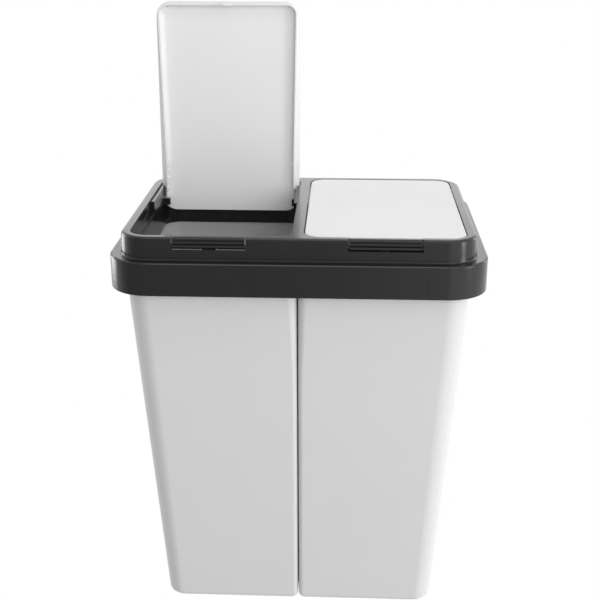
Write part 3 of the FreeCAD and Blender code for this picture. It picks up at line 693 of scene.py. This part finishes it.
@dataclass
class Lid:
    """One flip lid with its skirt, pins and catch."""

    side: Side
    middle_x: float = 102.982
    half_x: float = 94.978
    half_y: float = 140.464
    corner: float = 20.0
    underside: float = 513.2
    hinge_y: float = 108.4639
    hinge_z: float = 509.9
    open_angle: float = 92.0
    cheek_front: float = 70.0
    skirt_spread: float = 1.04
    skirt_from: float = 1.5
    cove: float = 6.5
    cove_between: tuple[float, float] = (3.9, 9.0)

    @property
    def swing(self) -> Matrix:
        """The turn about the hinge from shut to the place that this lid has at rest.

        Returns:
            The turn, none for the lid that rests shut.
        """
        pin = Vector((0, self.hinge_y, self.hinge_z)) * MM
        angle = -self.open_angle if self.side is Side.LEFT else 0.0
        return Matrix.Translation(pin) @ Matrix.Rotation(math.radians(angle), 4, "X") @ Matrix.Translation(-pin)

    def shut(self, point: Vector) -> Vector:
        """Where a point of this lid is when the lid is shut."""
        return self.swing.inverted() @ point

    def inset(self, point: Vector) -> float:
        """Measures how far a point of the shut lid stands in from the lid's outline.

        Args:
            point: The point, in metres.

        Returns:
            The distance in millimetres.
        """
        dx = abs(abs(point.x) / MM - self.middle_x) - (self.half_x - self.corner)
        dy = abs(point.y) / MM - (self.half_y - self.corner)
        return self.corner - math.hypot(max(dx, 0.0), max(dy, 0.0)) - min(max(dx, dy), 0.0)

    def build(self, shop: PaintShop) -> bpy.types.Object:
        """Spreads and coves the skirt, then finishes and dresses the lid.

        Args:
            shop: Where finishes come from.

        Returns:
            The lid.
        """
        piece = moulding_from(f"{self.side.word}_lid", f"{self.side.word}_lid_panel")
        self._spread_the_skirt(piece)
        round_edges(piece, self.cove, 6, self.inside_edge)
        soften(piece, 0.3)
        shop.coat(piece, Finish.LID)
        return settle(piece, f"{self.side.word}_lid_body", "lid_plastic", f"{self.side.word}_lid")

    def _spread_the_skirt(self, piece: bpy.types.Object) -> None:
        """Moves the skirt's sides out, in front of the hinge cheeks, so that only a narrow rim shows round it.

        Args:
            piece: The lid.
        """
        cut = Vector((0, self.cheek_front, self.hinge_z)) * MM
        cut_normal = self.swing.to_3x3() @ Vector((0, 1, 0))
        with edit_mode(piece):
            bpy.ops.mesh.select_mode(type="FACE")
            bpy.ops.mesh.select_all(action="SELECT")
            bpy.ops.mesh.bisect(plane_co=self.swing @ cut, plane_no=cut_normal)

            def on_skirt(vertex: bmesh.types.BMVert) -> bool:
                """Whether a vertex is on the skirt, in front of the cheeks."""
                at = self.shut(vertex.co)
                return (at.y < (self.cheek_front - 2) * MM and at.z < (self.underside + 0.05) * MM
                        and self.inset(at) > self.skirt_from)

            LOG.info("%s: %d skirt points spread", piece.name, choose(piece, "verts", on_skirt))
            bpy.ops.transform.resize(value=(self.skirt_spread, 1, 1),
                                     center_override=(self.side.value * self.middle_x * MM, 0, 0))

    def inside_edge(self, edge: bmesh.types.BMEdge) -> bool:
        """Tells whether an edge is where the inside of the skirt meets the panel.

        Args:
            edge: An edge of the lid.

        Returns:
            True where both its ends and its middle are on that corner.
        """
        near, far = self.cove_between
        points = [self.shut(v.co) for v in edge.verts] + [self.shut(middle(edge))]
        return all(abs(p.z - self.underside * MM) < 0.05 * MM and p.y < (self.cheek_front + 0.1) * MM
                   and near < self.inset(p) < far for p in points)


@dataclass
class PressBar:
    """One ribbed press bar with its stubs, arm and nose."""

    side: Side
    # Each groove: where its bottom is in y and z, and how far it moves.
    grooves: Sequence[tuple[tuple[float, float], tuple[float, float]]] = (
        ((-149.37, 514.44), (0.3, -0.7)),
        ((-151.32, 512.13), (1.3, -0.5)), ((-151.80, 510.99), (1.5, -0.2)),
        ((-152.71, 508.07), (1.6, 0.0)), ((-152.90, 507.40), (1.5, 0.0)),
    )
    within: float = 0.06

    def build(self, shop: PaintShop) -> bpy.types.Object:
        """Deepens the grooves between the ribs, then finishes and dresses the bar.

        Args:
            shop: Where finishes come from.

        Returns:
            The bar.
        """
        piece = moulding_from(f"{self.side.word}_latch", f"{self.side.word}_press_bar")
        reach = self.within * MM
        with edit_mode(piece):
            for (y, z), (dy, dz) in self.grooves:
                count = choose(piece, "verts", lambda v: math.hypot(v.co.y - y * MM, v.co.z - z * MM) < reach)
                bpy.ops.transform.translate(value=(0, dy * MM, dz * MM))
                LOG.info("%s: groove moved %d points", piece.name, count)
        soften(piece, 0.15)
        shop.coat(piece, Finish.FRAME)
        return settle(piece, f"{self.side.word}_latch_body", "frame_plastic", f"{self.side.word}_latch")


@dataclass
class Springs:
    """The steel springs, which keep their mechanical shapes."""

    nodes: Sequence[str] = ("left_latch_spring", "right_latch_spring", "left_lid_spring", "right_lid_spring")

    def build(self, shop: PaintShop) -> None:
        """Dresses the springs.

        Args:
            shop: Where finishes come from.
        """
        for node in self.nodes:
            shop.coat(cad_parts[node], Finish.STEEL)
            LOG.info("%s is dressed", node)


# ------------------------------------------------------------------ studio

@dataclass(frozen=True)
class SoftBox:
    """One soft box of the studio."""

    name: str
    place: tuple[float, float, float]
    size: tuple[float, float]
    watts: float
    aim: tuple[float, float, float] = (0.0, 0.0, 0.35)
    mirrored: bool = True


@dataclass
class Studio:
    """Paper, lamps and the camera."""

    camera_at: tuple[float, float, float] = (0.0549, -1.3578, 0.8801)
    camera_tilt: float = 70.01
    camera_turn: float = 2.43
    lens: float = 65.51
    paper_at: tuple[float, float, float] = (0.0, 19.0, 0.0)
    paper_width: float = 1.0
    boxes: Sequence[SoftBox] = (
        SoftBox("right_box", (1.7, -0.9, 0.75), (0.5, 1.4), 11.0),
        SoftBox("right_back_box", (1.5, 0.9, 0.7), (0.4, 1.0), 2.5),
        SoftBox("left_back_box", (-1.3, 0.6, 0.5), (0.7, 1.0), 8.0),
        SoftBox("front_fill", (0.5, -2.7, 1.3), (2.0, 1.2), 25.0, mirrored=False),
        SoftBox("overhead_strip", (0.1, -0.75, 2.5), (1.8, 0.2), 4.0),
        SoftBox("back_box", (0.0, 2.9, 1.4), (3.2, 1.3), 9.0),
    )

    def build(self) -> None:
        """Sets up everything that isn't the bin."""
        self._paper()
        self._camera()
        self._lamps()
        self._air()
        bpy.context.scene.view_settings.view_transform = "Standard"

    def _paper(self) -> None:
        """A small sheet of white paper at floor height, far behind the bin.

        It is out of the main view and too far off to take the bin's shadow, so no floor shows under the bin.
        """
        deselect_all()
        bpy.ops.mesh.primitive_plane_add(size=self.paper_width, location=self.paper_at)
        floor = bpy.context.object
        floor.name = "paper_floor"
        bpy.ops.object.transform_apply(location=True, rotation=True, scale=True)
        floor.data.materials.append(StudioPaper().build())

    def _camera(self) -> None:
        """The camera at the photograph's angle."""
        data = bpy.data.cameras.new("camera")
        data.lens = self.lens
        data.sensor_width = 36.0
        camera = bpy.data.objects.new("camera", data)
        camera.location = self.camera_at
        camera.rotation_euler = (math.radians(self.camera_tilt), 0, math.radians(self.camera_turn))
        bpy.context.scene.collection.objects.link(camera)
        bpy.context.scene.camera = camera

    def _lamps(self) -> None:
        """Hangs the soft boxes."""
        for box in self.boxes:
            data = bpy.data.lights.new(box.name, "AREA")
            data.shape = "RECTANGLE"
            data.size, data.size_y = box.size
            data.energy = box.watts
            lamp = bpy.data.objects.new(box.name, data)
            lamp.location = box.place
            lamp.rotation_euler = (Vector(box.aim) - Vector(box.place)).to_track_quat("-Z", "Y").to_euler()
            lamp.visible_camera = False
            lamp.visible_glossy = box.mirrored
            bpy.context.scene.collection.objects.link(lamp)

    def _air(self) -> None:
        """A pale room, bright behind and to the right of the bin and dimmer behind the camera.

        The camera sees plain white all round, and reflections and glass show that white behind the bin.
        """
        world = bpy.data.worlds.new("studio_air")
        bpy.context.scene.world = world
        world.use_nodes = True
        world.node_tree.nodes.clear()
        ways = add_node(world, "ShaderNodeSeparateXYZ", None,
                        {0: add_node(world, "ShaderNodeTexCoord").outputs["Generated"]})
        behind = add_node(world, "ShaderNodeMapRange", {"interpolation_type": "SMOOTHSTEP"},
                          {"Value": ways.outputs["Y"], "From Min": -0.5, "From Max": 0.4, "To Min": 0.35,
                           "To Max": 0.7})
        right = add_node(world, "ShaderNodeMapRange", {"interpolation_type": "SMOOTHSTEP"},
                         {"Value": ways.outputs["X"], "From Min": -0.05, "From Max": 0.25, "To Min": 0.35,
                          "To Max": 1.1})
        room = add_node(world, "ShaderNodeMath", {"operation": "MAXIMUM"},
                        {0: behind.outputs["Result"], 1: right.outputs["Result"]})
        backdrop = add_node(world, "ShaderNodeMapRange", {"interpolation_type": "SMOOTHSTEP"},
                            {"Value": ways.outputs["Y"], "From Min": -0.5, "From Max": 0.4, "To Min": 0.35,
                             "To Max": 1.0})
        reflected = add_node(world, "ShaderNodeMath", {"operation": "MAXIMUM"},
                             {0: backdrop.outputs["Result"], 1: right.outputs["Result"]})
        path = add_node(world, "ShaderNodeLightPath")
        in_piece = add_node(world, "ShaderNodeMath", {"operation": "MAXIMUM"},
                            {0: path.outputs["Is Glossy Ray"], 1: path.outputs["Is Transmission Ray"]})
        indirect = add_node(world, "ShaderNodeMix", {"data_type": "FLOAT"},
                            {0: in_piece.outputs[0], 2: room.outputs[0], 3: reflected.outputs[0]})
        level = add_node(world, "ShaderNodeMix", {"data_type": "FLOAT"},
                         {0: path.outputs["Is Camera Ray"], 2: indirect.outputs[0], 3: 1.0})
        air = add_node(world, "ShaderNodeBackground", None, {"Color": (1, 1, 1, 1), "Strength": level.outputs[0]})
        add_node(world, "ShaderNodeOutputWorld", None, {"Surface": air.outputs[0]})


def main() -> None:
    """Builds the bin and its studio, in order."""
    logging.basicConfig(level=logging.INFO, format="%(name)s: %(message)s")
    Studio().build()
    shop = PaintShop()
    for side in Side:
        Tub(side).build(shop)
    LidFrame().build(shop)
    for side in Side:
        Lid(side).build(shop)
        PressBar(side).build(shop)
    Springs().build(shop)


if __name__ == "__main__":
    main()
